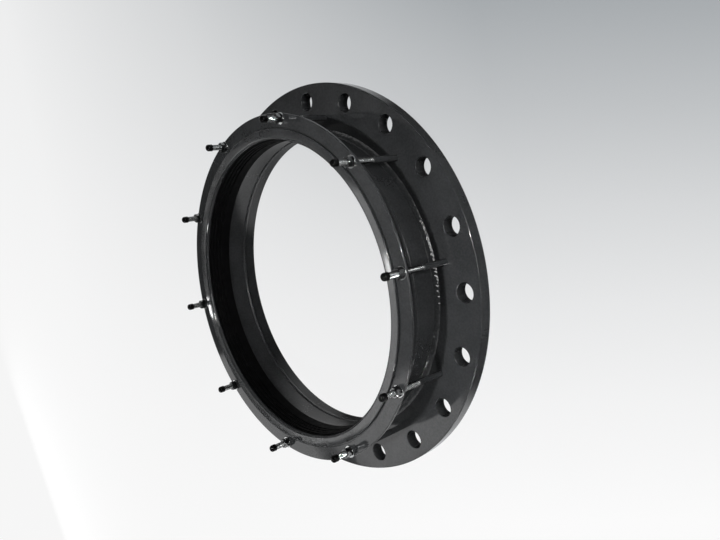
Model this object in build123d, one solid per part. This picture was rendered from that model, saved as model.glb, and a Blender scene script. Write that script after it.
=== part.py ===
"""Flange adaptor for a 600 mm pipe: flanged sleeve, wedge gasket and end ring drawn up by ten studs.

Units are millimetres. The origin is the centre of the flange's mating face, and +Z runs along
the pipe axis from the flange to the end ring. +X points at the first stud.
"""
import os
from math import cos, radians, sin, tan

from build123d import *

# Radii, from the pipe outwards: each piece takes its place from the one inside it
pipe_diameter = 610.0
pipe_clearance = 3.0
gasket_tail_thickness = 4.7
gasket_gap = 0.3
sleeve_wall = 6.0
mouth_spread = 22.0
gasket_heel_inset = 2.0
lip_inset = 2.0
band_width = 30.0
stud_inset = 11.0
bolt_offset = 35.0
rim_width = 35.0

# Flange plate, drilled as a DN 600 PN 16 flange
flange_thickness = 25.0
flange_bore_step = 2.0
flange_edge_round = 1.5
bolt_hole = 36.0
bolt_count = 20

# Rolled sleeve with its flared mouth
mouth_height = 80.0
mouth_angle = 45.0
mouth_bend = 10.0

# Welds between flange and sleeve
outer_weld_leg = 8.0
inner_weld_width = 9.5
inner_weld_rise = 2.2
weld_bulge = 0.56
weld_root = 1.0

# Wedge gasket
gasket_tail_length = 6.0
gasket_tail_round = 1.5
gasket_free_height = 27.0
groove_count = 4
groove_first = 24.0
groove_pitch = 9.3
groove_radius = 2.2

# End ring: flat band outside, raised lip inside, shallow pocket for the gasket behind the lip
ring_clearance = 5.3
band_thickness = 5.5
band_edge_round = 1.5
lip_rise = 4.0
lip_slope = 4.0
lip_inner_round = 5.0
lip_outer_round = 1.8
pocket_depth = 2.0
pocket_rim = 2.3
pocket_side_gap = 0.6

# Studs, nuts, washers and thread caps
stud_count = 10
stud_diameter = 12.0
stud_beyond_nut = 30.2
stud_depth = 20.0
stud_hole_gap = 0.05
stud_chamfer = 1.2
ring_hole = 14.0
washer_bore = 13.0
washer_diameter = 24.0
washer_thickness = 2.5
nut_across_flats = 18.0
nut_height = 10.8
nut_sides = 6
nut_chamfer_angle = 30.0
nut_turn_step = 37.0
thread_gap = 0.1
cap_wall = 1.15
cap_grip = 9.5
cap_end = 3.2
cap_end_gap = 0.3
cap_round = 5.5

# Radii that follow
pipe_radius = pipe_diameter / 2
gasket_inner = pipe_radius + pipe_clearance
sleeve_inner = gasket_inner + gasket_tail_thickness + gasket_gap
sleeve_outer = sleeve_inner + sleeve_wall
flange_inner = sleeve_inner + flange_bore_step
mouth_inner = sleeve_inner + mouth_spread
gasket_heel = mouth_inner - gasket_heel_inset
ring_inner = pipe_radius + ring_clearance
pocket_inner = ring_inner + pocket_rim
pocket_outer = gasket_heel + pocket_side_gap
lip_outer = gasket_heel - lip_inset
ring_outer = lip_outer + band_width
stud_circle = ring_outer - stud_inset
bolt_circle = stud_circle + bolt_offset
flange_outer = bolt_circle + rim_width
stud_radius = stud_diameter / 2
cap_socket = stud_radius + thread_gap

# Heights that follow, up from the mating face
mouth_top = flange_thickness + mouth_height
bend_inner_z = mouth_top - mouth_spread / tan(radians(mouth_angle))
bend_outer_z = bend_inner_z - sleeve_wall * tan(radians(mouth_angle / 2))
mouth_edge_r = mouth_inner + sleeve_wall * cos(radians(mouth_angle))
mouth_edge_z = mouth_top - sleeve_wall * sin(radians(mouth_angle))
gasket_foot = bend_inner_z - gasket_tail_length
ring_base = mouth_top + gasket_free_height
pocket_roof = ring_base + pocket_depth
band_top = ring_base + band_thickness
lip_top = band_top + lip_rise
lip_brim = lip_top - (lip_outer - ring_inner) * tan(radians(lip_slope))
nut_base = band_top + washer_thickness
stud_foot = flange_thickness - stud_depth
stud_top = nut_base + nut_height + stud_beyond_nut


def around(copies, radius, first_angle=0.0):
    """Places spaced evenly on a circle about the pipe axis."""
    return PolarLocations(radius, copies, start_angle=first_angle)


def drills(places, diameter, base, depth):
    """Round cutters at the given places, from the height base upwards."""
    circles = Sketch() + [place * Circle(diameter / 2) for place in places]
    return Pos(0, 0, base) * extrude(circles, depth)


def turned(outline):
    """Solid of revolution about the pipe axis, from an outline whose x is radius and y is height."""
    return revolve(Plane.XZ * outline, axis=Axis.Z)


def face_from(*lines):
    """Closed face inside a chain of lines that meet end to end."""
    return make_face(Curve() + list(lines))


def flange_plate():
    """Flat ring with rounded rim, holes for the pipe-flange bolts and blind tapped holes for the studs."""
    disc = extrude(Circle(flange_outer), flange_thickness)
    disc = fillet(disc.edges().filter_by(GeomType.CIRCLE), flange_edge_round)
    disc -= extrude(Circle(flange_inner), flange_thickness)
    bolt_places = around(bolt_count, bolt_circle, 360.0 / bolt_count / 2)
    disc -= drills(bolt_places, bolt_hole, 0, flange_thickness)
    stud_places = around(stud_count, stud_circle)
    return disc - drills(stud_places, stud_diameter + 2 * stud_hole_gap, stud_foot, stud_depth)


def sleeve_shell():
    """Cylinder of plate that stands on the flange and opens into a conical mouth, square-cut at its lip."""
    inner = FilletPolyline(
        (sleeve_inner, flange_thickness),
        (sleeve_inner, bend_inner_z),
        (mouth_inner, mouth_top),
        radius=mouth_bend + sleeve_wall,
    )
    outer = FilletPolyline(
        (sleeve_outer, flange_thickness),
        (sleeve_outer, bend_outer_z),
        (mouth_edge_r, mouth_edge_z),
        radius=mouth_bend,
    )
    lip = Line((mouth_inner, mouth_top), (mouth_edge_r, mouth_edge_z))
    foot = Line((sleeve_inner, flange_thickness), (sleeve_outer, flange_thickness))
    return turned(face_from(inner, lip, outer, foot))


def outer_weld():
    """Fillet weld, slightly convex, between the flange's front face and the sleeve's outside."""
    toe = (sleeve_outer + outer_weld_leg, flange_thickness)
    crown = (sleeve_outer + weld_bulge * outer_weld_leg, flange_thickness + weld_bulge * outer_weld_leg)
    top = (sleeve_outer, flange_thickness + outer_weld_leg)
    root = (sleeve_outer - weld_root, flange_thickness)
    root_top = (sleeve_outer - weld_root, flange_thickness + outer_weld_leg)
    return turned(face_from(ThreePointArc(toe, crown, top), Polyline(top, root_top, root, toe)))


def inner_weld():
    """Low weld bead round the sleeve's bore, just above the flange."""
    low = (sleeve_inner, flange_thickness)
    crown = (sleeve_inner - inner_weld_rise, flange_thickness + inner_weld_width / 2)
    top = (sleeve_inner, flange_thickness + inner_weld_width)
    back_top = (sleeve_inner + weld_root, flange_thickness + inner_weld_width)
    back_low = (sleeve_inner + weld_root, flange_thickness)
    return turned(face_from(ThreePointArc(low, crown, top), Polyline(top, back_top, back_low, low)))


def flanged_sleeve():
    """The weldment: flange plate, sleeve and both welds as one solid."""
    return flange_plate() + sleeve_shell() + outer_weld() + inner_weld()


def gasket():
    """Wedge gasket: thin tail in the sleeve, cone on the flare, heel in the ring's pocket, grooved bore."""
    shoulder = ring_base - gasket_gap
    crown = pocket_roof - gasket_gap
    rib_inner = pocket_inner + pocket_side_gap
    tail_outer = sleeve_inner - gasket_gap
    slope = tan(radians(mouth_angle))
    cone_shift = gasket_gap / cos(radians(mouth_angle))
    outline = Polygon(
        (gasket_inner, gasket_foot),
        (tail_outer, gasket_foot),
        (tail_outer, bend_inner_z + (cone_shift - gasket_gap) / slope),
        (gasket_heel, bend_inner_z + (gasket_heel + cone_shift - sleeve_inner) / slope),
        (gasket_heel, crown),
        (rib_inner, crown),
        (rib_inner, shoulder),
        (gasket_inner, shoulder),
        align=None,
    )
    outline = fillet(outline.vertices().group_by(Axis.Y)[0], gasket_tail_round)
    for step in range(groove_count):
        height = gasket_foot + groove_first + step * groove_pitch
        outline -= Pos(gasket_inner, height) * Circle(groove_radius)
    return turned(outline)


def end_ring():
    """Clamping ring: flat drilled band and a raised, rounded lip that falls slightly towards the bore."""
    section = Polygon(
        (ring_inner, ring_base),
        (ring_outer, ring_base),
        (ring_outer, band_top),
        (lip_outer, band_top),
        (lip_outer, lip_top),
        (ring_inner, lip_brim),
        align=None,
    )
    section = fillet(section.vertices().sort_by_distance((ring_inner, lip_brim, 0))[0], lip_inner_round)
    section = fillet(section.vertices().sort_by_distance((lip_outer, lip_top, 0))[0], lip_outer_round)
    section = fillet(section.vertices().group_by(Axis.X)[-1], band_edge_round)
    pocket = Polygon(
        (pocket_inner, ring_base),
        (pocket_outer, ring_base),
        (pocket_outer, pocket_roof),
        (pocket_inner, pocket_roof),
        align=None,
    )
    ring = turned(section - pocket)
    return ring - drills(around(stud_count, stud_circle), ring_hole, ring_base, band_thickness)


def stud():
    """Threaded stud, chamfered at both ends and seated in its tapped hole; drawn at its thread's crest."""
    rod = Pos(0, 0, stud_foot) * extrude(Circle(stud_radius), stud_top - stud_foot)
    return chamfer(rod.edges().filter_by(GeomType.CIRCLE), stud_chamfer)


def washer():
    """Plain washer on the ring's band."""
    face = Circle(washer_diameter / 2) - Circle(washer_bore / 2)
    return Pos(0, 0, band_top) * extrude(face, washer_thickness)


def nut():
    """Hexagon nut, its corners turned off at both ends, with a running bore on the stud."""
    flat = nut_across_flats / 2
    corner = flat / cos(radians(180.0 / nut_sides))
    drop = (corner - flat) * tan(radians(nut_chamfer_angle))
    prism = extrude(RegularPolygon(flat, nut_sides, major_radius=False), nut_height)
    section = Polygon(
        (stud_radius + thread_gap, 0),
        (flat, 0),
        (corner, drop),
        (corner, nut_height - drop),
        (flat, nut_height),
        (stud_radius + thread_gap, nut_height),
        align=None,
    )
    return Pos(0, 0, nut_base) * (prism & turned(section))


def thread_cap():
    """Soft cap with a rounded end, pushed over the last turns of the stud."""
    mouth = stud_top - cap_grip
    shoulder = stud_top + cap_end_gap
    top = shoulder + cap_end
    shell = Pos(0, 0, mouth) * extrude(Circle(cap_socket + cap_wall), top - mouth)
    shell = fillet(shell.edges().group_by(Axis.Z)[-1], cap_round)
    socket = Pos(0, 0, mouth) * extrude(Circle(cap_socket), shoulder - mouth)
    return shell - socket


def write(part, node):
    """Writes one sub-part to its own file."""
    export_step(part, f"parts/{node}.step")


os.makedirs("parts", exist_ok=True)
write(flanged_sleeve(), "flanged_sleeve")
write(gasket(), "gasket")
write(end_ring(), "end_ring")
single_stud = stud()
single_washer = washer()
single_nut = nut()
single_cap = thread_cap()
for number, place in enumerate(around(stud_count, stud_circle), start=1):
    write(place * single_stud, f"stud_{number:02d}")
    write(place * single_washer, f"washer_{number:02d}")
    write(place * Rot(0, 0, number * nut_turn_step) * single_nut, f"nut_{number:02d}")
    write(place * single_cap, f"thread_cap_{number:02d}")
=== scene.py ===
"""Flange adaptor for a 610 mm pipe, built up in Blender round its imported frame.

The adaptor stands on its mating face, +Z along the pipe axis. Lengths are in metres, and angles
in radians unless a name ends in _deg.
"""

import logging
import math
from dataclasses import dataclass, field
from enum import Enum
from functools import reduce
from typing import Sequence

import bpy
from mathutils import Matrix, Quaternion, Vector


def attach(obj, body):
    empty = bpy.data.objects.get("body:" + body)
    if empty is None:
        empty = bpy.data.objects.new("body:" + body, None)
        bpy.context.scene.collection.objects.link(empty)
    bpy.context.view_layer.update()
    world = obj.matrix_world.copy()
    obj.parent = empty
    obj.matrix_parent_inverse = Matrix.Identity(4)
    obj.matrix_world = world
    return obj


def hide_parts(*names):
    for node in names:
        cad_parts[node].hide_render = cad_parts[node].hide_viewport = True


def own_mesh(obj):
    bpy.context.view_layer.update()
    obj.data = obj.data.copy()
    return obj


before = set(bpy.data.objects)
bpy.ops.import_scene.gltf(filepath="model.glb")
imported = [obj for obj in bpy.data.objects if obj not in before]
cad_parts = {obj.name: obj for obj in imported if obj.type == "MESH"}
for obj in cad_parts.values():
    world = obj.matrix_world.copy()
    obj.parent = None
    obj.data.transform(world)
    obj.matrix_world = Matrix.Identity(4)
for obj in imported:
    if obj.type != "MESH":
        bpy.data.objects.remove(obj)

Piece = bpy.types.Object
Socket = bpy.types.NodeSocket
Stops = tuple[tuple[float, float], ...]

MM = 0.001
FULL_TURN = 2 * math.pi
MERGE_DISTANCE = 1e-6

log = logging.getLogger("flange_adaptor")


class Carrier(Enum):
    """Bodies of the frame that the pieces ride on."""

    SLEEVE = "sleeve"
    CLAMP_RING = "clamp_ring"
    NUT = "nut"
    CAP = "thread_cap"

    def body(self, number: int = 0) -> str:
        """Name of the body, with the stud's number for nuts and caps, which have one for each."""
        return f"{self.value}_{number:02d}" if self in (Carrier.NUT, Carrier.CAP) else self.value


class Cut(Enum):
    """What a tool does to the piece that it meets."""

    TAKE_AWAY = "DIFFERENCE"
    KEEP_COMMON = "INTERSECT"


@dataclass(frozen=True)
class Corner:
    """Corner of a turned section: radius from the axis, height, and the rounding of the corner."""

    r: float
    z: float
    rounding: float = 0.0


@dataclass(frozen=True)
class Tone:
    """Grey or near-grey display colour, 0 to 255 a channel, as it should look when fully lit."""

    red: float
    green: float
    blue: float

    def linear(self) -> tuple[float, float, float, float]:
        """The same colour as scene-linear RGBA."""
        channels = (self.red, self.green, self.blue)
        return tuple(((c / 255 + 0.055) / 1.055) ** 2.4 for c in channels) + (1.0,)


# Mesh work


def deselect_all() -> None:
    """Leaves object mode with nothing selected."""
    if bpy.context.object and bpy.context.object.mode != "OBJECT":
        bpy.ops.object.mode_set(mode="OBJECT")
    bpy.ops.object.select_all(action="DESELECT")


def work_on(piece: Piece) -> None:
    """Makes one piece the only selected and the active one.

    Args:
        piece: the mesh object.
    """
    deselect_all()
    piece.select_set(True)
    bpy.context.view_layer.objects.active = piece


def edit(piece: Piece, select: bool = True) -> None:
    """Opens a piece in edit mode.

    Args:
        piece: the mesh object.
        select: whether all of its mesh is selected, or none of it.
    """
    work_on(piece)
    bpy.ops.object.mode_set(mode="EDIT")
    bpy.ops.mesh.select_all(action="SELECT" if select else "DESELECT")


def done() -> None:
    """Leaves edit mode."""
    bpy.ops.object.mode_set(mode="OBJECT")


def rounded(corners: Sequence[Corner], steps: int) -> list[Vector]:
    """Points of a closed section outline in the XZ plane, with its corners rounded by arcs.

    Args:
        corners: corners in order round the section.
        steps: straight pieces in each arc.

    Returns:
        The outline's points, without the first one repeated.
    """
    points: list[Vector] = []
    for index, corner in enumerate(corners):
        here = Vector((corner.r, 0.0, corner.z))
        if corner.rounding <= 0:
            points.append(here)
            continue
        before, after = corners[index - 1], corners[(index + 1) % len(corners)]
        back = (Vector((before.r, 0.0, before.z)) - here).normalized()
        ahead = (Vector((after.r, 0.0, after.z)) - here).normalized()
        half = back.angle(ahead) / 2
        centre = here + (back + ahead).normalized() * corner.rounding / math.sin(half)
        first = here + back * corner.rounding / math.tan(half) - centre
        last = here + ahead * corner.rounding / math.tan(half) - centre
        sweep = first.angle(last)
        normal = first.cross(last).normalized()
        for step in range(steps + 1):
            points.append(centre + Quaternion(normal, sweep * step / steps) @ first)
    return points


def draw_outline(name: str, points: Sequence[Vector], closed: bool = True) -> Piece:
    """Draws a line through points by extruding one vertex.

    Args:
        name: name of the new piece.
        points: the line's points.
        closed: whether the last point is joined to the first.

    Returns:
        The new mesh object, in edit mode with all of it selected.
    """
    deselect_all()
    bpy.ops.mesh.primitive_plane_add(size=MM)
    piece = bpy.context.object
    piece.name = piece.data.name = name
    edit(piece)
    bpy.ops.mesh.merge(type="CENTER")
    bpy.ops.transform.translate(value=points[0])
    for here, there in zip(points, points[1:]):
        bpy.ops.mesh.extrude_region_move(TRANSFORM_OT_translate={"value": there - here})
    if closed:
        done()
        piece.data.vertices[0].select = True
        bpy.ops.object.mode_set(mode="EDIT")
        bpy.ops.mesh.edge_face_add()
    bpy.ops.mesh.select_all(action="SELECT")
    return piece


def spin(steps: int, angle: float = FULL_TURN, copies: bool = False) -> None:
    """Spins what is selected round the pipe axis, into a surface or into copies of itself."""
    bpy.ops.mesh.spin(steps=steps, dupli=copies, angle=angle, center=(0, 0, 0), axis=(0, 0, 1))


def close_mesh(merge_distance: float = MERGE_DISTANCE) -> None:
    """Merges the points that meet, turns every face outwards and leaves edit mode.

    Args:
        merge_distance: distance below which two points become one.
    """
    bpy.ops.mesh.select_all(action="SELECT")
    bpy.ops.mesh.remove_doubles(threshold=merge_distance)
    bpy.ops.mesh.normals_make_consistent(inside=False)
    done()


def turn_section(name: str, corners: Sequence[Corner], steps: int, arc_steps: int) -> Piece:
    """Makes a ring by drawing a closed section and spinning it round the pipe axis.

    Args:
        name: name of the new piece.
        corners: corners of the section.
        steps: facets round the ring.
        arc_steps: facets in each rounded corner.

    Returns:
        The ring, in object mode.
    """
    piece = draw_outline(name, rounded(corners, arc_steps))
    spin(steps)
    close_mesh()
    return piece


def apply_modifier(piece: Piece, kind: str, settings: dict[str, object]) -> None:
    """Adds a modifier, gives it its settings and applies it.

    Args:
        piece: the mesh object.
        kind: Blender's type name for the modifier.
        settings: the modifier's properties by name.
    """
    work_on(piece)
    modifier = piece.modifiers.new(kind.title(), kind)
    for key, value in settings.items():
        setattr(modifier, key, value)
    bpy.ops.object.modifier_apply(modifier=modifier.name)


def carve(piece: Piece, tool: Piece, cut: Cut) -> None:
    """Cuts a piece with another, which is then deleted."""
    apply_modifier(piece, "BOOLEAN", {"operation": cut.value, "solver": "EXACT", "object": tool})
    bpy.data.objects.remove(tool)


def hole_pegs(
    count: int, first_angle: float, circle_r: float, hole_r: float, low: float, high: float
) -> Piece:
    """Round pegs on a circle about the pipe axis, as one piece to drill with.

    Args:
        count: number of pegs.
        first_angle: angle of the first one from +X.
        circle_r: radius of the circle that they stand on.
        hole_r: radius of a peg.
        low: level of their feet.
        high: level of their tops.

    Returns:
        The pegs as one mesh object.
    """
    deselect_all()
    place = (circle_r * math.cos(first_angle), circle_r * math.sin(first_angle), (low + high) / 2)
    bpy.ops.mesh.primitive_cylinder_add(vertices=64, radius=hole_r, depth=high - low, location=place)
    pegs = bpy.context.object
    bpy.ops.object.transform_apply(location=True)
    edit(pegs)
    spin(count, copies=True)
    close_mesh()
    return pegs


def add_waves(piece: Piece, size: float, height: float) -> None:
    """Makes a surface softly uneven.

    Args:
        piece: the mesh object.
        size: width of one wave.
        height: from the deepest to the highest point.
    """
    clouds = bpy.data.textures.new(piece.name, "CLOUDS")
    clouds.noise_scale = size
    clouds.noise_depth = 1
    settings = {"texture": clouds, "texture_coords": "LOCAL", "strength": height, "mid_level": 0.5}
    apply_modifier(piece, "DISPLACE", settings)


def smooth(piece: Piece, limit_deg: float = 30.0) -> None:
    """Shades a piece smooth, with its flat faces kept flat beside their roundings.

    Args:
        piece: the mesh object.
        limit_deg: angle between faces above which the edge stays sharp.
    """
    work_on(piece)
    bpy.ops.object.shade_smooth_by_angle(angle=math.radians(limit_deg))
    apply_modifier(piece, "WEIGHTED_NORMAL", {"keep_sharp": True, "weight": 100})


# Finishes


@dataclass(frozen=True)
class Grain:
    """Pattern of noise: width of its blotches, octaves, and its height where it is a relief."""

    size: float
    detail: float
    height: float = 0.0


class TreeWriter:
    """Short calls for the nodes that materials and the surroundings share."""

    def __init__(self, tree: bpy.types.NodeTree, coordinate: str) -> None:
        """Opens a node tree.

        Args:
            tree: the tree to write in.
            coordinate: the texture coordinate that its patterns read.
        """
        self.nodes = tree.nodes
        self.links = tree.links
        self.place = self.nodes.new("ShaderNodeTexCoord").outputs[coordinate]

    def add(self, kind: str, inputs: dict[str | int, object], **settings: object) -> bpy.types.Node:
        """Adds a node with its inputs linked or set.

        Args:
            kind: Blender's name of the node type.
            inputs: a socket or a value for each input, by name or number.
            settings: the node's properties by name.

        Returns:
            The new node.
        """
        node = self.nodes.new(kind)
        for key, value in settings.items():
            setattr(node, key, value)
        for key, value in inputs.items():
            if isinstance(value, Socket):
                self.links.new(value, node.inputs[key])
            else:
                node.inputs[key].default_value = value
        return node

    def map_range(self, source: Socket, start: float, end: float, low: float, high: float) -> Socket:
        """Maps a range of values to another, with soft ends.

        Args:
            source: the value.
            start: value that gives low.
            end: value that gives high.
            low: first result.
            high: second result.

        Returns:
            The mapped value.
        """
        inputs = {"Value": source, "From Min": start, "From Max": end, "To Min": low, "To Max": high}
        return self.add("ShaderNodeMapRange", inputs, interpolation_type="SMOOTHSTEP").outputs["Result"]

    def calculate(self, operation: str, first: Socket | float, second: Socket | float) -> Socket:
        """Result of a Math operation, by Blender's name of it, on two values."""
        return self.add("ShaderNodeMath", {0: first, 1: second}, operation=operation).outputs[0]

    def axes(self) -> bpy.types.bpy_prop_collection:
        """The coordinate's parts, under X, Y and Z."""
        return self.add("ShaderNodeSeparateXYZ", {0: self.place}).outputs

    def ramp(self, source: Socket, stops: Stops) -> Socket:
        """Curve of straight lines over a value.

        Args:
            source: the value.
            stops: values of the source in rising order, each with the result there, 0 to 1.

        Returns:
            The result on the curve.
        """
        first, last = stops[0][0], stops[-1][0]
        share = self.add("ShaderNodeMapRange", {"Value": source, "From Min": first, "From Max": last})
        curve = self.add("ShaderNodeValToRGB", {"Fac": share.outputs["Result"]})
        elements = curve.color_ramp.elements
        while len(elements) < len(stops):
            elements.new(1.0)
        for element, (position, value) in zip(elements, stops):
            element.position = (position - first) / (last - first)
            element.color = (value, value, value, 1)
        return curve.outputs["Color"]


class Shader(TreeWriter):
    """Node tree of one material, ending in a Principled shader."""

    noise_middle: tuple[float, float] = (0.3, 0.7)

    def __init__(self, name: str) -> None:
        """Starts an empty material.

        Args:
            name: name of the material.
        """
        self.material = bpy.data.materials.new(name)
        self.material.use_nodes = True
        super().__init__(self.material.node_tree, "Object")
        self.surface = self.nodes["Principled BSDF"]

    def set(self, values: dict[str, object]) -> None:
        """Sets inputs of the Principled shader.

        Args:
            values: each input's value, by its name.
        """
        for key, value in values.items():
            self.surface.inputs[key].default_value = value

    def noise(self, grain: Grain) -> Socket:
        """Noise in object space, 0 to 1."""
        inputs = {"Vector": self.place, "Scale": 1 / grain.size, "Detail": grain.detail}
        return self.add("ShaderNodeTexNoise", inputs).outputs["Fac"]

    def spread(self, grain: Grain, low: float, high: float) -> Socket:
        """Noise with its middle spread over a range of numbers."""
        return self.map_range(self.noise(grain), *self.noise_middle, low, high)

    def blend(self, share: Socket, low: Tone, high: Tone) -> Socket:
        """Mixes two colours, low where the share is 0 and high where it is 1."""
        inputs = {"A": low.linear(), "B": high.linear(), "Factor": share}
        return self.add("ShaderNodeMix", inputs, data_type="RGBA").outputs["Result"]

    def bump(self, grain: Grain) -> None:
        """Raises the surface by a noise, on top of any bump that is there.

        Args:
            grain: the noise, with its height.
        """
        inputs = {"Height": self.noise(grain), "Distance": grain.height, "Strength": 1.0}
        below = self.surface.inputs["Normal"]
        if below.is_linked:
            inputs["Normal"] = below.links[0].from_socket
        self.links.new(self.add("ShaderNodeBump", inputs).outputs["Normal"], below)


@dataclass(frozen=True)
class Finish:
    """One material: a clouded tone between two, a clouded roughness, and a fine relief."""

    name: str
    dark: Tone
    light: Tone
    clouds: tuple[Grain, ...]
    roughness: tuple[float, float]
    haze: Grain
    relief: tuple[Grain, ...]
    metallic: float = 0.0
    specular: float = 0.5

    def build(self) -> bpy.types.Material:
        """Makes the material.

        Returns:
            The new material.
        """
        shader = Shader(self.name)
        shader.set({"Metallic": self.metallic, "Specular IOR Level": self.specular})
        clouds = [shader.spread(grain, 0, 1 / len(self.clouds)) for grain in self.clouds]
        share = reduce(lambda total, cloud: shader.calculate("ADD", total, cloud), clouds)
        tone = shader.blend(share, self.dark, self.light)
        shader.links.new(tone, shader.surface.inputs["Base Color"])
        shader.links.new(shader.spread(self.haze, *self.roughness), shader.surface.inputs["Roughness"])
        for grain in self.relief:
            shader.bump(grain)
        return shader.material


@dataclass(frozen=True)
class BlackCoat(Finish):
    """Smooth black polymer coating, glossy, with a faint orange peel and slow waves."""

    name: str = "black_coat"
    dark: Tone = Tone(40, 41, 42)
    light: Tone = Tone(53, 54, 55)
    clouds: tuple[Grain, ...] = (Grain(60 * MM, 4), Grain(4 * MM, 3))
    roughness: tuple[float, float] = (0.05, 0.09)
    haze: Grain = Grain(35 * MM, 1)
    relief: tuple[Grain, ...] = (Grain(2.2 * MM, 2, 0.0005 * MM), Grain(26 * MM, 1, 0.06 * MM))


@dataclass(frozen=True)
class MouldedRubber(Finish):
    """Dense black rubber from a mould, satin, with a fine dull mottle."""

    name: str = "moulded_rubber"
    dark: Tone = Tone(5, 5, 6)
    light: Tone = Tone(10, 10, 11)
    clouds: tuple[Grain, ...] = (Grain(18 * MM, 5),)
    roughness: tuple[float, float] = (0.5, 0.65)
    haze: Grain = Grain(9 * MM, 4)
    relief: tuple[Grain, ...] = (Grain(1.2 * MM, 3, 0.02 * MM),)
    specular: float = 0.04


@dataclass(frozen=True)
class ZincPlate(Finish):
    """Bright zinc plating on steel, with soft cloudy variation."""

    name: str = "zinc_plate"
    dark: Tone = Tone(190, 192, 193)
    light: Tone = Tone(226, 227, 226)
    clouds: tuple[Grain, ...] = (Grain(5 * MM, 4),)
    roughness: tuple[float, float] = (0.09, 0.17)
    haze: Grain = Grain(3 * MM, 3)
    relief: tuple[Grain, ...] = (Grain(0.6 * MM, 2, 0.004 * MM),)
    metallic: float = 1.0


@dataclass(frozen=True)
class SoftVinyl(Finish):
    """Glossy black dip-moulded vinyl of the thread caps."""

    name: str = "soft_vinyl"
    dark: Tone = Tone(3, 3, 3)
    light: Tone = Tone(6, 6, 6)
    clouds: tuple[Grain, ...] = (Grain(6 * MM, 3),)
    roughness: tuple[float, float] = (0.1, 0.16)
    haze: Grain = Grain(4 * MM, 3)
    relief: tuple[Grain, ...] = (Grain(2.5 * MM, 1, 0.03 * MM),)
    specular: float = 0.12


@dataclass
class Finishes:
    """The adaptor's materials, each made once."""

    coat: bpy.types.Material = field(default_factory=BlackCoat().build)
    rubber: bpy.types.Material = field(default_factory=MouldedRubber().build)
    zinc: bpy.types.Material = field(default_factory=ZincPlate().build)
    # Darker copy of the zinc plating for the nuts: painted shade for the dark surroundings that their faces
    # mirror.
    shaded_nut_zinc: bpy.types.Material = field(
        default_factory=ZincPlate("zinc_nut_plate_painted_shade", Tone(98, 99, 100), Tone(152, 153, 153)).build
    )
    vinyl: bpy.types.Material = field(default_factory=SoftVinyl().build)

    def dress_nodes(self) -> None:
        """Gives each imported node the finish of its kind, also where a piece stands for it."""
        by_kind = {
            "gasket": self.rubber, "stud": self.zinc, "washer": self.zinc, "nut": self.shaded_nut_zinc,
            "thread_cap": self.vinyl,
        }
        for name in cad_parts:
            materials = bpy.data.objects[name].data.materials
            materials.clear()
            materials.append(by_kind.get(name.rstrip("_0123456789"), self.coat))


def fit(piece: Piece, finish: bpy.types.Material, body: str, node: str) -> None:
    """Gives a finished piece its material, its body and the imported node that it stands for.

    Args:
        piece: the finished mesh object.
        finish: its material.
        body: the body that it rides on.
        node: the node that it replaces.
    """
    piece.data.materials.clear()
    piece.data.materials.append(finish)
    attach(piece, body)
    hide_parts(node)
    log.info("%s: %d faces, on %s", piece.name, len(piece.data.polygons), body)


# The adaptor


@dataclass
class WeldBead:
    """Weld bead round the pipe axis, laid as overlapping scales by hand."""

    name: str
    root: Vector
    toe_low: Vector
    toe_high: Vector
    crown: float
    ripple: float
    scales: int
    inward: bool = False
    columns: int = 5
    rows: int = 7
    swells: tuple[float, ...] = (0.35, 0.7, 1.0, 0.9)
    waves: tuple[tuple[float, float], ...] = ((14 * MM, 1.0 * MM), (3 * MM, 1.7 * MM))
    sharp_deg: float = 50.0

    def build(self) -> Piece:
        """Draws the section, spins one scale of it, shapes it and repeats it round the axis.

        Returns:
            The bead, in object mode.
        """
        piece = draw_outline(self.name, [self.root, *self.face()])
        pitch = FULL_TURN / self.scales
        spin(self.columns, pitch)
        done()
        self.shape_scale(piece, pitch)
        edit(piece)
        spin(self.scales, copies=True)
        close_mesh(5 * MERGE_DISTANCE)
        for size, height in self.waves:
            add_waves(piece, size, height)
        smooth(piece, self.sharp_deg)
        return piece

    def face(self) -> list[Vector]:
        """Line across the bead's crowned face.

        Returns:
            The line's points from the lower to the upper toe.
        """
        middle = (self.toe_low + self.toe_high) / 2
        out = Vector((-1, 0, 0)) if self.inward else (middle - self.root).normalized()
        points = []
        for row in range(self.rows + 1):
            share = row / self.rows
            bulge = math.sin(math.pi * share) * self.crown
            points.append(self.toe_low.lerp(self.toe_high, share) + out * bulge)
        return points

    def shape_scale(self, piece: Piece, pitch: float) -> None:
        """Swells the middle of one scale, so that it overlaps the one before.

        Args:
            piece: one scale of the bead, starting on the +X side.
            pitch: angle that one scale takes.
        """
        reach = ((self.toe_low + self.toe_high) / 2 - self.root).length
        near = 0.1 * pitch / self.columns
        for column, swell in enumerate(self.swells, start=1):
            angle = pitch * column / self.columns
            edit(piece, select=False)
            done()
            for vertex in piece.data.vertices:
                vertex.select = abs(math.atan2(vertex.co.y, vertex.co.x) - angle) < near
            bpy.ops.object.mode_set(mode="EDIT")
            size = 1 + swell * self.ripple / reach
            centre = Quaternion((0, 0, 1), angle) @ self.root
            bpy.ops.transform.resize(value=(size, size, size), center_override=centre)
            done()


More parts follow.
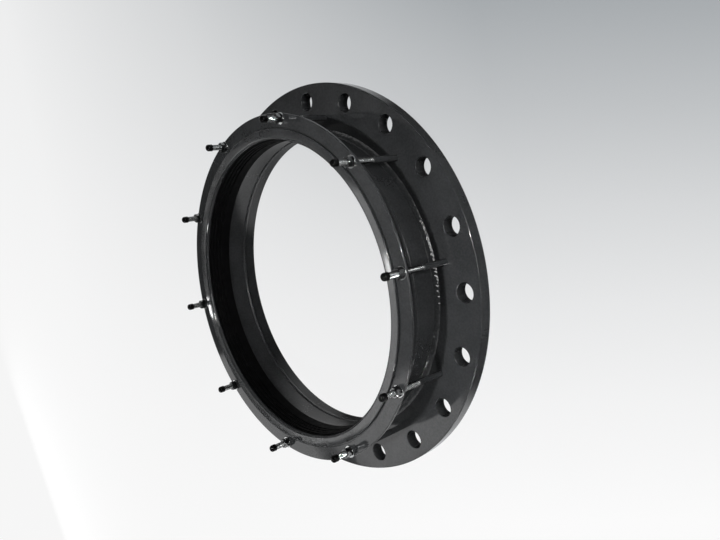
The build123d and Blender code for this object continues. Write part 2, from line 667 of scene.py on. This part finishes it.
@dataclass
class FlangedSleeve:
    """Flange plate with the rolled sleeve welded to it, all under one coat."""

    finishes: Finishes
    flange_r: float = 420 * MM
    flange_bore_r: float = 315 * MM
    thickness: float = 25 * MM
    rim_round: float = 1.5 * MM
    edge_round: float = 1.5 * MM
    bolt_count: int = 20
    bolt_circle_r: float = 385 * MM
    bolt_hole_r: float = 18 * MM
    sleeve_r: float = 313 * MM
    wall: float = 6 * MM
    mouth_height: float = 80 * MM
    mouth_spread: float = 22 * MM
    bend_r: float = 10 * MM
    edge_break: float = 0.8 * MM
    rolling_wave: float = 35 * MM
    rolling_height: float = 0.5 * MM
    weld_leg: float = 8 * MM
    bead_width: float = 9.5 * MM
    weld_depth: float = 1 * MM
    toe_depth: float = 0.1 * MM
    steps: int = 288
    shell_steps: int = 576

    def build(self) -> None:
        """Makes the plate, the sleeve and both weld beads."""
        for piece in (self.plate(), self.sleeve(), self.outer_bead(), self.inner_bead()):
            fit(piece, self.finishes.coat, Carrier.SLEEVE.body(), "flanged_sleeve")

    def plate(self) -> Piece:
        """Flange plate with its bolt holes, every edge softened by the coat.

        Returns:
            The plate.
        """
        corners = [
            Corner(self.flange_bore_r, 0, self.edge_round),
            Corner(self.flange_r, 0, self.rim_round),
            Corner(self.flange_r, self.thickness, self.rim_round),
            Corner(self.flange_bore_r, self.thickness, self.edge_round),
        ]
        plate = turn_section("flange_plate", corners, self.steps, arc_steps=4)
        half_pitch = math.radians(180 / self.bolt_count)
        reach = (-self.thickness, 2 * self.thickness)
        pegs = hole_pegs(self.bolt_count, half_pitch, self.bolt_circle_r, self.bolt_hole_r, *reach)
        carve(plate, pegs, Cut.TAKE_AWAY)
        self.soften_holes(plate)
        smooth(plate)
        return plate

    def soften_holes(self, plate: Piece) -> None:
        """Rounds the two edges of each bolt hole.

        Args:
            plate: the drilled plate.
        """
        edit(plate, select=False)
        done()
        for edge in plate.data.edges:
            ends = [plate.data.vertices[i].co for i in edge.vertices]
            flat = abs(ends[0].z - ends[1].z) < MERGE_DISTANCE
            at_face = min(abs(ends[0].z), abs(ends[0].z - self.thickness)) < MERGE_DISTANCE
            edge.select = flat and at_face and all(self.on_hole(v) for v in ends)
        bpy.ops.object.mode_set(mode="EDIT")
        bpy.ops.mesh.bevel(offset=self.edge_round, segments=3, affect="EDGES")
        done()

    def on_hole(self, point: Vector, tolerance: float = 0.05 * MM) -> bool:
        """Finds out whether a point lies on the wall of a bolt hole.

        Args:
            point: the point, in the plate.
            tolerance: distance from the wall that still counts.

        Returns:
            True on the wall.
        """
        pitch = FULL_TURN / self.bolt_count
        angle = (math.floor(math.atan2(point.y, point.x) / pitch) + 0.5) * pitch
        centre = Vector((self.bolt_circle_r * math.cos(angle), self.bolt_circle_r * math.sin(angle), point.z))
        return abs((point - centre).length - self.bolt_hole_r) < tolerance

    def sleeve(self) -> Piece:
        """Rolled sleeve with its flared mouth, a softened, square-cut lip and slight waves.

        Returns:
            The sleeve.
        """
        bend_in = self.thickness + self.mouth_height - self.mouth_spread
        bend_out = bend_in - self.wall * math.tan(math.pi / 8)
        diagonal = self.wall * math.sqrt(0.5)
        mouth_r = self.sleeve_r + self.mouth_spread
        top = self.thickness + self.mouth_height
        corners = [
            Corner(self.sleeve_r, self.thickness),
            Corner(self.sleeve_r + self.wall, self.thickness),
            Corner(self.sleeve_r + self.wall, bend_out, self.bend_r),
            Corner(mouth_r + diagonal, top - diagonal, self.edge_break),
            Corner(mouth_r, top, self.edge_break),
            Corner(self.sleeve_r, bend_in, self.bend_r + self.wall),
        ]
        piece = turn_section("sleeve_shell", corners, self.shell_steps, arc_steps=6)
        add_waves(piece, self.rolling_wave, self.rolling_height)
        smooth(piece)
        return piece

    def outer_bead(self) -> Piece:
        """Rippled fillet weld between the plate and the sleeve's outside.

        Returns:
            The bead.
        """
        outside = self.sleeve_r + self.wall
        bead = WeldBead(
            name="outer_weld",
            root=Vector((outside - self.weld_depth, 0, self.thickness - self.weld_depth)),
            toe_low=Vector((outside + self.weld_leg, 0, self.thickness - self.toe_depth)),
            toe_high=Vector((outside - self.toe_depth, 0, self.thickness + self.weld_leg)),
            crown=0.9 * MM,
            ripple=0.9 * MM,
            scales=460,
        )
        return bead.build()

    def inner_bead(self) -> Piece:
        """Low rippled bead round the bore, just above the plate.

        Returns:
            The bead.
        """
        toe_r = self.sleeve_r + self.toe_depth
        bead = WeldBead(
            name="inner_weld",
            root=Vector((self.sleeve_r + self.weld_depth, 0, self.thickness + self.bead_width / 2)),
            toe_low=Vector((toe_r, 0, self.thickness)),
            toe_high=Vector((toe_r, 0, self.thickness + self.bead_width)),
            crown=2.0 * MM,
            ripple=0.8 * MM,
            scales=430,
            inward=True,
        )
        return bead.build()


@dataclass
class Gasket:
    """Wedge gasket with its tail in the sleeve, its heel under the end ring and a grooved bore."""

    finishes: Finishes
    bore_r: float = 308 * MM
    tail_r: float = 312.7 * MM
    heel_r: float = 333 * MM
    foot: float = 77 * MM
    cone_low: float = 83.12 * MM
    cone_high: float = 103.42 * MM
    rib_r: float = 313.2 * MM
    shoulder: float = 131.7 * MM
    crown: float = 133.7 * MM
    tail_round: float = 1.5 * MM
    first_groove: float = 101 * MM
    groove_pitch: float = 9.3 * MM
    groove_count: int = 4
    groove_half: float = 2.2 * MM
    groove_floor: float = 0.6
    ring_travel: float = 8 * MM

    def build(self) -> None:
        """Makes the ring."""
        corners = [
            Corner(self.bore_r, self.foot, self.tail_round),
            Corner(self.tail_r, self.foot, self.tail_round),
            Corner(self.tail_r, self.cone_low),
            Corner(self.heel_r, self.cone_high, 1.0 * MM),
            Corner(self.heel_r, self.crown, 0.5 * MM),
            Corner(self.rib_r, self.crown, 0.5 * MM),
            Corner(self.rib_r, self.shoulder),
            Corner(self.bore_r, self.shoulder, 0.8 * MM),
        ]
        for groove in reversed(range(self.groove_count)):
            corners += self.groove(self.first_groove + groove * self.groove_pitch)
        piece = turn_section("wedge_gasket", corners, steps=240, arc_steps=3)
        smooth(piece)
        fit(piece, self.finishes.rubber, Carrier.SLEEVE.body(), "gasket")
        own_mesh(piece)

    def groove(self, level: float) -> list[Corner]:
        """One groove of the bore, with its brims and its floor rounded.

        Args:
            level: height of its middle.

        Returns:
            Its four corners, from the top down.
        """
        half, floor_half = self.groove_half, self.groove_floor * self.groove_half
        return [
            Corner(self.bore_r, level + half, 0.5 * MM),
            Corner(self.bore_r + half, level + floor_half, 0.7 * MM),
            Corner(self.bore_r + half, level - floor_half, 0.7 * MM),
            Corner(self.bore_r, level - half, 0.5 * MM),
        ]


@dataclass
class EndRing:
    """Clamping ring: flat drilled band, relief groove, lip that falls to the bore, pocket behind."""

    finishes: Finishes
    bore_r: float = 310.3 * MM
    lip_r: float = 331 * MM
    outer_r: float = 361 * MM
    base: float = 132 * MM
    band_top: float = 137.5 * MM
    lip_top: float = 141.5 * MM
    lip_brim: float = 140.05 * MM
    lip_round: float = 1.4 * MM
    brim_round: float = 5 * MM
    rim_round: float = 1.5 * MM
    relief_width: float = 2.4 * MM
    relief_depth: float = 1.6 * MM
    relief_taper: float = 0.6 * MM
    pocket_in_r: float = 312.6 * MM
    pocket_out_r: float = 333.6 * MM
    pocket_roof: float = 134 * MM
    stud_count: int = 10
    stud_circle_r: float = 350 * MM
    hole_r: float = 7 * MM
    drill_margin: float = 5 * MM

    def build(self) -> None:
        """Makes the ring with its stud holes."""
        relief_r = self.lip_r + self.relief_width
        relief_floor = self.band_top - self.relief_depth
        corners = [
            Corner(self.bore_r, self.base, 0.6 * MM),
            Corner(self.pocket_in_r, self.base),
            Corner(self.pocket_in_r, self.pocket_roof),
            Corner(self.pocket_out_r, self.pocket_roof),
            Corner(self.pocket_out_r, self.base),
            Corner(self.outer_r, self.base, self.rim_round),
            Corner(self.outer_r, self.band_top, self.rim_round),
            Corner(relief_r, self.band_top, 0.4 * MM),
            Corner(relief_r - self.relief_taper, relief_floor),
            Corner(self.lip_r, relief_floor),
            Corner(self.lip_r, self.lip_top, self.lip_round),
            Corner(self.bore_r, self.lip_brim, self.brim_round),
        ]
        piece = turn_section("clamp_band", corners, steps=288, arc_steps=6)
        reach = (self.base - self.drill_margin, self.band_top + self.drill_margin)
        carve(piece, hole_pegs(self.stud_count, 0.0, self.stud_circle_r, self.hole_r, *reach), Cut.TAKE_AWAY)
        smooth(piece)
        fit(piece, self.finishes.coat, Carrier.CLAMP_RING.body(), "end_ring")


@dataclass
class StudSet:
    """The ten studs with their washers, nuts and thread caps, one modelled and ten copied."""

    finishes: Finishes
    count: int = EndRing.stud_count
    circle_r: float = EndRing.stud_circle_r
    thread_r: float = 6 * MM
    pitch: float = 1.75 * MM
    thread_depth: float = 0.95 * MM
    thread_steps: int = 16
    foot: float = 5 * MM
    coat_top: float = 86 * MM
    coat_r: float = 6.05 * MM
    top: float = 181 * MM
    washer_base: float = EndRing.band_top
    washer_r: float = 12 * MM
    washer_bore_r: float = 6.5 * MM
    washer_thickness: float = 2.5 * MM
    nut_flats: float = 18 * MM
    nut_height: float = 10.8 * MM
    turn_deg: float = 37.0
    nut_chamfer_deg: float = 30.0
    nut_sink: float = 0.9 * MM
    nut_edge: float = 0.25 * MM
    clearance: float = 0.1 * MM
    cap_r: float = 7.25 * MM
    cap_mouth: float = 171.5 * MM
    cap_shoulder: float = 181.3 * MM
    cap_top: float = 184.5 * MM
    cap_round: float = 5.5 * MM
    cap_rim: float = 0.15 * MM
    cap_rim_height: float = 2 * MM

    def build(self) -> None:
        """Makes each kind of piece on the pipe axis and puts a copy at every stud."""
        looks = self.finishes
        kinds = (
            ("threaded_stud", self.stud(), looks.zinc, "plated_stud", Carrier.SLEEVE, "stud"),
            ("stud_foot", self.coated_foot(), looks.coat, "coated_steel", Carrier.SLEEVE, "stud"),
            ("flat_washer", self.washer(), looks.zinc, "zinc_washer", Carrier.CLAMP_RING, "washer"),
            ("hex_nut", self.nut(), looks.shaded_nut_zinc, "zinc_nut", Carrier.NUT, "nut"),
            ("end_cap", self.cap(), looks.vinyl, "cap_plastic", Carrier.CAP, "thread_cap"),
        )
        for name, original, finish, slot, carrier, node in kinds:
            for number in range(1, self.count + 1):
                copy = self.copy_to_stud(original, f"{name}_{number:02d}", number)
                fit(copy, finish, carrier.body(number), f"{node}_{number:02d}")
            bpy.data.objects.remove(original)

    def copy_to_stud(self, original: Piece, name: str, number: int) -> Piece:
        """Copies a piece, turns it on its own axis and moves it to its stud.

        Args:
            original: the piece, on the pipe axis.
            name: name of the copy.
            number: the stud's number.

        Returns:
            The copy, with its place in its own mesh.
        """
        work_on(original)
        bpy.ops.object.duplicate(linked=False)
        copy = bpy.context.object
        copy.name = copy.data.name = name
        copy.rotation_euler.z = math.radians(self.turn_deg * number)
        bpy.ops.object.transform_apply()
        copy.location.x = self.circle_r
        bpy.ops.object.transform_apply()
        copy.rotation_euler.z = FULL_TURN * (number - 1) / self.count
        bpy.ops.object.transform_apply()
        return copy

    def stud(self) -> Piece:
        """Bright threaded part of the stud, cut by a screw, from just inside the coated foot up.

        Returns:
            The threaded rod, on the pipe axis.
        """
        root = self.thread_r - self.thread_depth
        crest = self.pitch / 8
        flank = (self.pitch - 2 * crest) / 2
        heights = (0.0, crest, crest + flank, 2 * crest + flank, self.pitch)
        radii = (root, root, self.thread_r, self.thread_r, root)
        start = self.coat_top - 2 * self.pitch
        points = [Vector((r, 0, z + start - self.pitch)) for r, z in zip(radii, heights)]
        rod = draw_outline("threaded_stud", points, closed=False)
        done()
        turns = math.ceil((self.top - start) / self.pitch) + 2
        settings = {
            "axis": "Z", "angle": FULL_TURN, "screw_offset": self.pitch, "iterations": turns,
            "steps": self.thread_steps, "render_steps": self.thread_steps,
            "use_merge_vertices": True, "merge_threshold": MERGE_DISTANCE,
        }
        apply_modifier(rod, "SCREW", settings)
        self.trim(rod, start, below=True)
        self.trim(rod, self.top, below=False)
        edit(rod)
        close_mesh()
        smooth(rod, limit_deg=35)
        return rod

    @staticmethod
    def trim(rod: Piece, level: float, below: bool) -> None:
        """Cuts a rod square at a level and closes the cut.

        Args:
            rod: the mesh object.
            level: height of the cut.
            below: whether the part below it goes; otherwise the part above.
        """
        edit(rod)
        bpy.ops.mesh.bisect(
            plane_co=(0, 0, level), plane_no=(0, 0, 1), use_fill=True,
            clear_inner=below, clear_outer=not below,
        )
        done()

    def coated_foot(self) -> Piece:
        """Lower part of the stud, its thread filled by the black coat.

        Returns:
            The foot, on the pipe axis.
        """
        corners = [
            Corner(0, self.foot),
            Corner(self.thread_r, self.foot, 1.2 * MM),
            Corner(self.coat_r, self.coat_top, 1.0 * MM),
            Corner(0, self.coat_top),
        ]
        piece = turn_section("stud_foot", corners, steps=48, arc_steps=4)
        smooth(piece, limit_deg=40)
        return piece

    def washer(self) -> Piece:
        """Punched washer with softened edges.

        Returns:
            The washer, on the pipe axis.
        """
        top = self.washer_base + self.washer_thickness
        corners = [
            Corner(self.washer_bore_r, self.washer_base, 0.2 * MM),
            Corner(self.washer_r, self.washer_base, 0.3 * MM),
            Corner(self.washer_r, top, 0.5 * MM),
            Corner(self.washer_bore_r, top, 0.3 * MM),
        ]
        piece = turn_section("flat_washer", corners, steps=48, arc_steps=3)
        smooth(piece)
        return piece

    def nut(self) -> Piece:
        """Hexagon nut with its corners turned off and a countersunk bore.

        Returns:
            The nut, on the pipe axis.
        """
        base = self.washer_base + self.washer_thickness
        top = base + self.nut_height
        corner = self.nut_flats / 2 / math.cos(math.pi / 6)
        drop = (corner - self.nut_flats / 2) * math.tan(math.radians(self.nut_chamfer_deg))
        face_r = self.nut_flats / 2 - self.clearance
        bore = self.thread_r + self.clearance
        corners = [
            Corner(bore, base + self.nut_sink),
            Corner(bore + self.nut_sink, base),
            Corner(face_r, base),
            Corner(corner, base + drop),
            Corner(corner, top - drop),
            Corner(face_r, top),
            Corner(bore + self.nut_sink, top),
            Corner(bore, top - self.nut_sink),
        ]
        piece = turn_section("hex_nut", corners, steps=72, arc_steps=1)
        deselect_all()
        bpy.ops.mesh.primitive_cylinder_add(
            vertices=6, radius=corner, depth=2 * self.nut_height,
            location=(0, 0, base + self.nut_height / 2), rotation=(0, 0, math.pi / 6),
        )
        carve(piece, bpy.context.object, Cut.KEEP_COMMON)
        settings = {
            "width": self.nut_edge, "segments": 2, "limit_method": "ANGLE", "angle_limit": math.radians(25),
        }
        apply_modifier(piece, "BEVEL", settings)
        smooth(piece, limit_deg=40)
        return piece

    def cap(self) -> Piece:
        """Soft cap: thin tube with a domed end and a rolled mouth.

        Returns:
            The cap, on the pipe axis.
        """
        bore = self.thread_r + self.clearance
        corners = [
            Corner(bore, self.cap_mouth, 0.3 * MM),
            Corner(self.cap_r + self.cap_rim, self.cap_mouth, 0.4 * MM),
            Corner(self.cap_r, self.cap_mouth + self.cap_rim_height),
            Corner(self.cap_r, self.cap_top, self.cap_round),
            Corner(0, self.cap_top),
            Corner(0, self.cap_shoulder),
            Corner(bore, self.cap_shoulder),
        ]
        piece = turn_section("end_cap", corners, steps=40, arc_steps=7)
        smooth(piece, limit_deg=40)
        return piece


# Studio


class LampShape(Enum):
    """Outline of a lamp's face."""

    ROUND = "DISK"
    OBLONG = "RECTANGLE"


@dataclass(frozen=True)
class StudioLamp:
    """Lamp at an azimuth and an elevation from the origin, turned to its aim, with its brightness."""

    name: str
    azimuth_deg: float
    elevation_deg: float
    distance: float
    brightness: float
    width: float
    height: float
    shape: LampShape = LampShape.ROUND
    aim: tuple[float, float, float] = (0.0, 0.0, 0.0)
    spread_deg: float = 180.0
    mirrored: bool = True

    def build(self) -> None:
        """Places the lamp; only its light and, where it is to be mirrored, its reflection show."""
        azimuth, elevation = math.radians(self.azimuth_deg), math.radians(self.elevation_deg)
        level = math.cos(elevation)
        away = Vector((level * math.cos(azimuth), level * math.sin(azimuth), math.sin(elevation)))
        deselect_all()
        bpy.ops.object.light_add(type="AREA", location=away * self.distance)
        lamp = bpy.context.object
        lamp.name = lamp.data.name = self.name
        lamp.rotation_mode = "QUATERNION"
        lamp.rotation_quaternion = (Vector(self.aim) - lamp.location).to_track_quat("-Z", "Y")
        lamp.visible_camera = False
        lamp.visible_glossy = self.mirrored
        lamp.data.spread = math.radians(self.spread_deg)
        lamp.data.shape = self.shape.value
        lamp.data.size = self.width
        lamp.data.size_y = self.height
        area = self.width * self.height * (math.pi / 4 if self.shape is LampShape.ROUND else 1)
        lamp.data.energy = self.brightness * math.pi * area
        log.info("%s: %.1f W", self.name, lamp.data.energy)


@dataclass
class Studio:
    """Pale floor, soft surroundings, the lamps and the camera."""

    camera_place: tuple[float, float, float] = (1.1186, 0.0495, 0.9034)
    camera_ahead: tuple[float, float, float] = (-0.75077, -0.02846, -0.65995)
    roll_deg: float = 103.144
    lens: float = 32.33
    clip: tuple[float, float] = (0.05, 60)
    floor_size: float = 30.0
    floor_drop: float = 0.2 * MM
    fan_point: tuple[float, float] = (1.88, -0.19)
    fan_nearest: float = 0.4
    turned_shade: Stops = (
        (-0.2, 0), (-0.05, 0.13), (0.07, 0.29), (0.19, 0.5), (0.31, 0.74), (0.43, 0.95), (0.5, 1),
    )
    length_shade: Stops = (
        (-3.0, 0.08), (-1.8, 0.14), (-1.2, 0.27), (-0.75, 0.39), (-0.4, 0.5), (0.08, 0.75), (0.5, 1),
    )
    pale: Tone = Tone(255, 255, 255)
    grey: Tone = Tone(160, 165, 169)
    floor_glow: float = 0.92
    floor_albedo: float = 0.4
    floor_roughness: float = 0.9
    contact: tuple[float, float] = (0.45, 0.6)
    rim_edge: tuple[float, float] = (FlangedSleeve.flange_r - MM, FlangedSleeve.flange_r + MM)
    bore_edge: tuple[float, float] = (FlangedSleeve.flange_bore_r, 330 * MM)
    # Angles where the floor keeps its glow in reflections. Between them the glow is cut, as painted shade and
    # painted reflection that give the rim and the bore their dark and bright bands.
    clear_outside: Stops = ((-180, 1), (-42, 1), (-34, 0), (47, 0), (57, 1), (180, 1))
    clear_inside: Stops = (
        (-180, 0), (-150, 0), (-130, 0.8), (-112, 0.5), (-100, 0.05), (0, 0),
        (100, 0.4), (121, 0.5), (138, 1), (147, 1), (155, 0), (180, 0),
    )
    horizon: tuple[float, float, float] = (0.1, 0.26, 0.7)
    dim: float = 0.03
    glow_azimuth_deg: float = 178.0
    glow_elevation_deg: float = 48.0
    glow_edges_deg: tuple[float, float] = (20.0, 8.0)
    glow_brightness: float = 0.2
    lamps: tuple[StudioLamp, ...] = (
        StudioLamp("key_lamp", 15.9, 74.1, 4.32, 28.0, 0.25, 0.25, aim=(0.45, -0.1, 0.0), spread_deg=30.0),
        StudioLamp("front_lamp", 8.0, 22.0, 1.7, 280.0, 0.06, 0.06),
        StudioLamp("front_softbox", 4.0, 14.0, 1.9, 11.0, 0.9, 0.45, LampShape.OBLONG),
        StudioLamp("side_lamp", -78.0, 50.5, 2.2, 150.0, 0.2, 0.2),
        StudioLamp("back_softbox", 186.2, 39.7, 4.0, 1.7, 1.44, 0.46, LampShape.OBLONG),
        StudioLamp("side_softbox", 203.2, 41.0, 9.0, 1.25, 1.26, 1.88, LampShape.OBLONG),
        StudioLamp("low_softbox", 197.0, 29.2, 9.0, 1.2, 2.57, 1.35, LampShape.OBLONG),
        StudioLamp("lip_softbox", 172.4, 35.4, 9.0, 0.6, 0.62, 0.16, LampShape.OBLONG),
        StudioLamp("back_lamp", 182.45, 35.9, 60.0, 36.0, 1.0, 1.0),
        StudioLamp("rear_fill", 205.0, 9.0, 3.0, 9.0, 2.2, 0.7, LampShape.OBLONG, mirrored=False),
    )

    def build(self) -> None:
        """Makes the floor, the surroundings, the lamps and the camera."""
        self.floor()
        self.surroundings()
        for lamp in self.lamps:
            lamp.build()
        self.camera()
        bpy.context.scene.view_settings.view_transform = "Standard"

    def floor(self) -> None:
        """Pale floor just under the adaptor."""
        deselect_all()
        bpy.ops.mesh.primitive_plane_add(size=self.floor_size, location=(0, 0, -self.floor_drop))
        floor = bpy.context.object
        floor.name = "floor"
        bpy.ops.object.transform_apply(location=True)
        floor.data.materials.append(self.floor_material())

    def floor_material(self) -> bpy.types.Material:
        """Matt pale floor, mostly self-lit where it is looked at or mirrored, with painted shade in its
        reflections near the object.

        Returns:
            The floor's material.
        """
        shader = Shader("pale_floor")
        shader.set({
            "Base Color": (self.floor_albedo,) * 3 + (1,), "Roughness": self.floor_roughness,
            "Specular IOR Level": 0.0,
        })
        path = shader.nodes.new("ShaderNodeLightPath").outputs
        strength = shader.calculate("MAXIMUM", path["Is Camera Ray"], self.glow_outside_painted_shade(shader))
        tone = shader.blend(self.floor_shade(shader), self.pale, self.grey)
        glow = shader.add("ShaderNodeEmission", {"Color": tone, "Strength": strength})
        mirrored = shader.calculate("MAXIMUM", path["Is Glossy Ray"], path["Is Transmission Ray"])
        seen = shader.calculate("MAXIMUM", path["Is Camera Ray"], mirrored)
        share = shader.calculate("MULTIPLY", seen, self.floor_glow)
        faces = {"Fac": share, 1: shader.surface.outputs["BSDF"], 2: glow.outputs["Emission"]}
        mix = shader.add("ShaderNodeMixShader", faces)
        shader.links.new(mix.outputs["Shader"], shader.nodes["Material Output"].inputs["Surface"])
        return shader.material

    def glow_outside_painted_shade(self, shader: Shader) -> Socket:
        """Where the floor is mirrored at its full tone: away from the flange, and in parts beside and in it;
        elsewhere its glow is cut as painted shade.

        Args:
            shader: the floor's node tree.

        Returns:
            The mask, 0 to 1.
        """
        distance = shader.add("ShaderNodeVectorMath", {0: shader.place}, operation="LENGTH").outputs["Value"]
        axes = shader.axes()
        angle = shader.calculate("ARCTAN2", axes["Y"], axes["X"])
        angle = shader.calculate("DEGREES", angle, 0.0)
        # Painted shade: close to the flange the floor's glow is cut where it is mirrored.
        away = shader.map_range(distance, *self.contact, 0.0, 1.0)
        beyond = shader.map_range(distance, *self.rim_edge, 0.0, 1.0)
        beside = shader.calculate("MULTIPLY", beyond, shader.ramp(angle, self.clear_outside))
        within = shader.map_range(distance, *self.bore_edge, 1.0, 0.0)
        inside = shader.calculate("MULTIPLY", within, shader.ramp(angle, self.clear_inside))
        return shader.calculate("MAXIMUM", shader.calculate("MAXIMUM", away, beside), inside)

    def floor_shade(self, shader: Shader) -> Socket:
        """How far the floor is from its palest tone, falling off along its length and round a fan point.

        Args:
            shader: the floor's node tree.

        Returns:
            The share of the darker tone, 0 to 1.
        """
        axes = shader.axes()
        along = shader.calculate("SUBTRACT", self.fan_point[0], axes["X"])
        along = shader.calculate("MAXIMUM", along, self.fan_nearest)
        across = shader.calculate("SUBTRACT", axes["Y"], self.fan_point[1])
        turned = shader.ramp(shader.calculate("DIVIDE", across, along), self.turned_shade)
        return shader.calculate("MULTIPLY", turned, shader.ramp(axes["X"], self.length_shade))

    def surroundings(self) -> None:
        """Dim surroundings, paler at the horizon, with a soft round glow behind the object."""
        world = bpy.data.worlds.new("studio")
        bpy.context.scene.world = world
        world.use_nodes = True
        tree = TreeWriter(world.node_tree, "Generated")
        level = tree.map_range(tree.axes()["Z"], *self.horizon, self.dim)
        axis = Vector((1, 0, 0))
        axis.rotate(Quaternion((0, -1, 0), math.radians(self.glow_elevation_deg)))
        axis.rotate(Quaternion((0, 0, 1), math.radians(self.glow_azimuth_deg)))
        facing = tree.add("ShaderNodeVectorMath", {0: tree.place, 1: axis}, operation="DOT_PRODUCT")
        edges = [math.cos(math.radians(angle)) for angle in self.glow_edges_deg]
        patch = tree.map_range(facing.outputs["Value"], *edges, 0.0, self.glow_brightness)
        background = tree.nodes["Background"]
        tree.links.new(tree.calculate("ADD", level, patch), background.inputs["Color"])
        background.inputs["Strength"].default_value = 1.0

    def camera(self) -> None:
        """Camera in front of the end ring, rolled so that the pipe axis runs across the picture."""
        deselect_all()
        bpy.ops.object.camera_add(location=self.camera_place)
        camera = bpy.context.object
        camera.name = camera.data.name = "camera"
        camera.data.lens = self.lens
        camera.data.clip_start, camera.data.clip_end = self.clip
        camera.rotation_mode = "QUATERNION"
        ahead = Vector(self.camera_ahead)
        roll = Quaternion(ahead, math.radians(self.roll_deg))
        camera.rotation_quaternion = roll @ ahead.to_track_quat("-Z", "Y")
        bpy.context.scene.camera = camera


def main() -> None:
    logging.basicConfig(level=logging.INFO, format="%(name)s: %(message)s")
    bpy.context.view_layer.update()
    finishes = Finishes()
    finishes.dress_nodes()
    for assembly in (FlangedSleeve(finishes), Gasket(finishes), EndRing(finishes), StudSet(finishes)):
        assembly.build()
    Studio().build()


if __name__ == "__main__":
    main()
